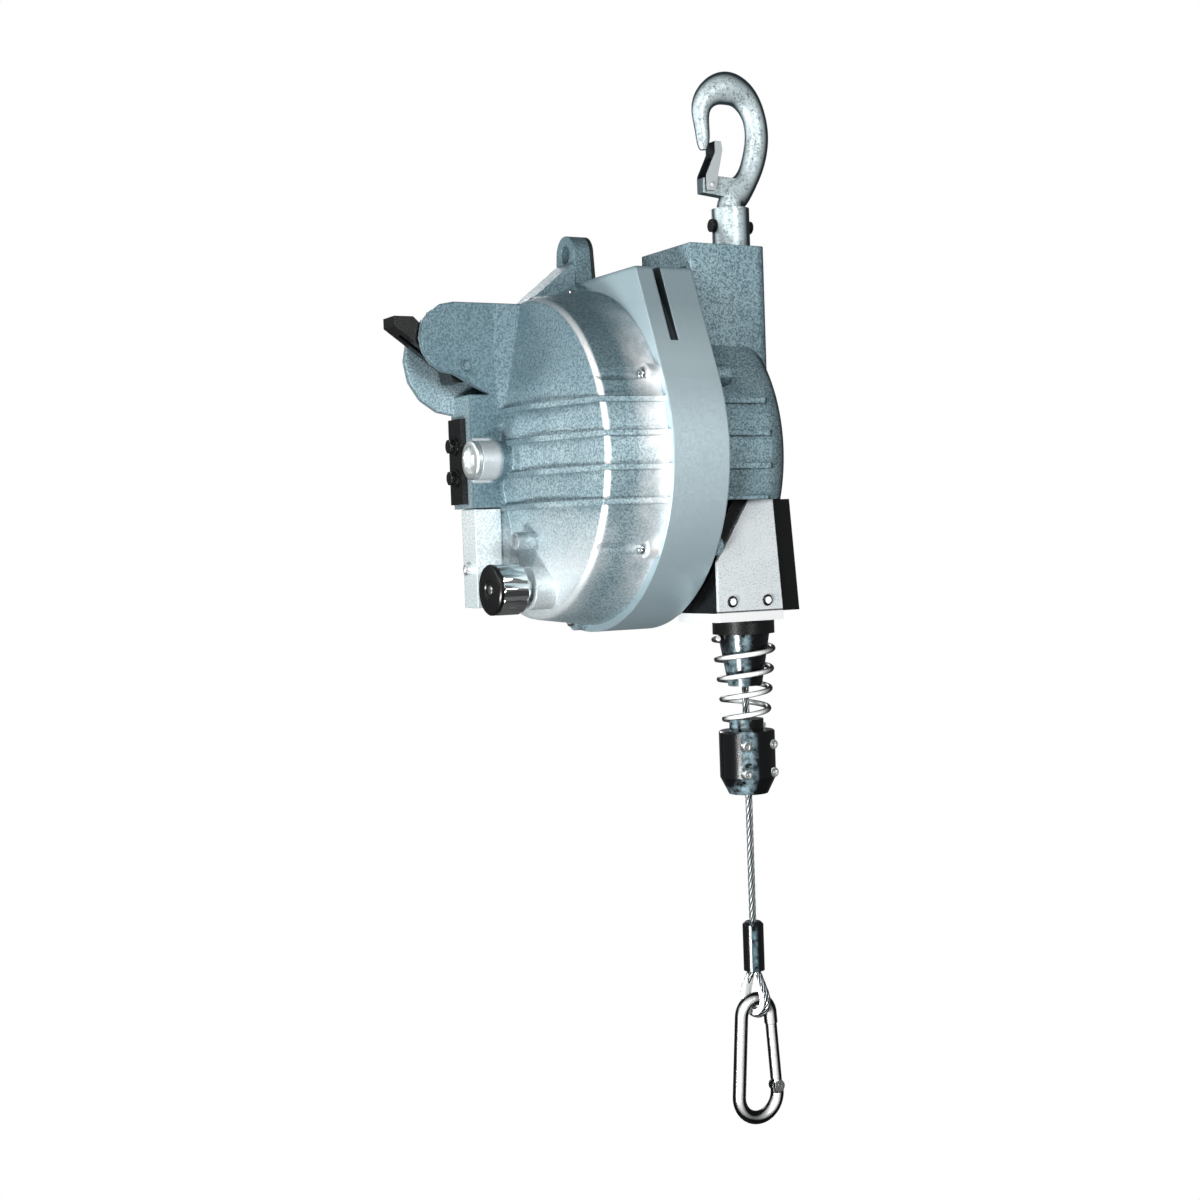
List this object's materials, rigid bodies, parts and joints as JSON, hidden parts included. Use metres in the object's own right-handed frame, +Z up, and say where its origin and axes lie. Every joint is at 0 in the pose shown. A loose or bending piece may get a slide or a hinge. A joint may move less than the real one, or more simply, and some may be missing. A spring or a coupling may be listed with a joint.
{
  "type": "tool balancer",
  "caption": "Spring balancer with a swivel hook, a cast drum housing, a wire rope with stop and buffer spring, and a snap hook for the tool.",
  "frame": {"origin": "top of the suspension hook's inner bowl, where the hook rests on its support, on the load line", "axes": "+Z up along the load line, X along the drum axis with the domed cover at -X, -Y the side of the tower and the rope exit"},
  "size_m": [0.2591, 0.248, 0.7482],
  "materials": {
    "cast_grey": "sand-cast, bluish grey, fine grain",
    "zinc_forged": "zinc plated, satin",
    "bright_steel": "bright, turned or drawn",
    "wire": "twisted bright wire",
    "black_steel": "black, semi-matt",
    "black_plastic": "moulded, matt black",
    "galvanised": "galvanised sheet, mottled",
    "screw_steel": "zinc plated screws",
    "rubber_black": "matt",
    "drum_alloy": "turned casting",
    "spring_steel": "blued band",
    "bronze": "plain bearing bronze"
  },
  "bodies": {
    "hook": {"suspension_hook": "zinc_forged", "swivel_collar": "zinc_forged", "cross_pin": "black_steel", "swivel_nut": "bright_steel", "latch_pin": "bright_steel"},
    "latch": {"hook_latch": "zinc_forged"},
    "housing": {"front_housing": "cast_grey", "rear_housing": "cast_grey", "housing_screws": "screw_steel", "hub_cover": "black_steel", "hub_bolts": "black_steel", "brake_case": "cast_grey", "case_screw": "screw_steel", "rear_bearing": "bright_steel", "rear_cap": "black_steel", "rear_cap_screws": "screw_steel", "grease_plug": "screw_steel", "power_spring": "spring_steel", "lever_pin": "bright_steel", "thrust_bearing": "bright_steel", "guide_block": "black_plastic", "guide_plate": "galvanised", "guide_screws": "screw_steel", "rope_bush": "black_plastic", "buffer_disc": "black_steel", "rubber_buffer": "rubber_black", "buffer_spring": "bright_steel"},
    "axle": {"drum_axle": "bright_steel", "axle_cap": "bright_steel"},
    "drum": {"rope_drum": "drum_alloy", "rope_layer": "wire", "drum_hub": "bronze"},
    "lever": {"lock_lever": "black_steel"},
    "plunger": {"plunger_knob": "bright_steel", "plunger_cap": "black_plastic"},
    "load": {"wire_rope": "wire", "stop_front_half": "black_plastic", "stop_rear_half": "black_plastic", "stop_screws": "screw_steel", "crimp_sleeve": "black_steel", "rope_eye": "wire", "thimble": "bright_steel"},
    "snap": {"snap_hook": "bright_steel", "gate_pin": "bright_steel"},
    "gate": {"snap_gate": "bright_steel"}
  },
  "joints": [
    {"name": "hook_swivel", "type": "hinge", "parent": "hook", "child": "housing", "pos_m": [0, 0, -0.101], "axis": [0, 0, 1], "continuous": true},
    {"name": "latch_open", "type": "hinge", "parent": "hook", "child": "latch", "pos_m": [-0.019, 0, -0.0585], "axis": [0, 1, 0], "range_deg": [0, 24], "stiffness_Nm_per_rad": 0.3, "springref_deg": -20.05},
    {"name": "drum_spin", "type": "hinge", "parent": "housing", "child": "drum", "pos_m": [-0.088, 0.066, -0.245], "axis": [1, 0, 0], "range_deg": [0, 1736], "stiffness_Nm_per_rad": 0.12, "springref_deg": -1145.92},
    {"name": "load_slide", "type": "slide", "parent": "housing", "child": "load", "axis": [0, 0, -1], "range_m": [0, 2], "deforming": ["wire_rope"]},
    {"name": "tension_turn", "type": "hinge", "parent": "housing", "child": "axle", "pos_m": [-0.088, 0.066, -0.245], "axis": [1, 0, 0], "range_deg": [0, 1080]},
    {"name": "lever_lift", "type": "hinge", "parent": "housing", "child": "lever", "pos_m": [-0.176, 0.066, -0.179], "axis": [0, 1, 0], "range_deg": [0, 18], "stiffness_Nm_per_rad": 0.6, "springref_deg": -17.19},
    {"name": "plunger_pull", "type": "slide", "parent": "housing", "child": "plunger", "axis": [-1, 0, 0], "range_m": [0, 0.008], "stiffness_N_per_m": 1500, "springref_m": -0.006},
    {"name": "snap_swing", "type": "hinge", "parent": "load", "child": "snap", "pos_m": [0, 0, -0.63505], "axis": [1, 0, 0], "range_deg": [-40, 40]},
    {"name": "gate_open", "type": "hinge", "parent": "snap", "child": "gate", "pos_m": [0.01598, 0, -0.69992], "axis": [0, -1, 0], "range_deg": [0, 20], "stiffness_Nm_per_rad": 0.15, "springref_deg": -20.05}
  ],
  "couplings": [
    {"joint": "load_slide", "follows": "drum_spin", "m_per_rad": 0.066}
  ]
}
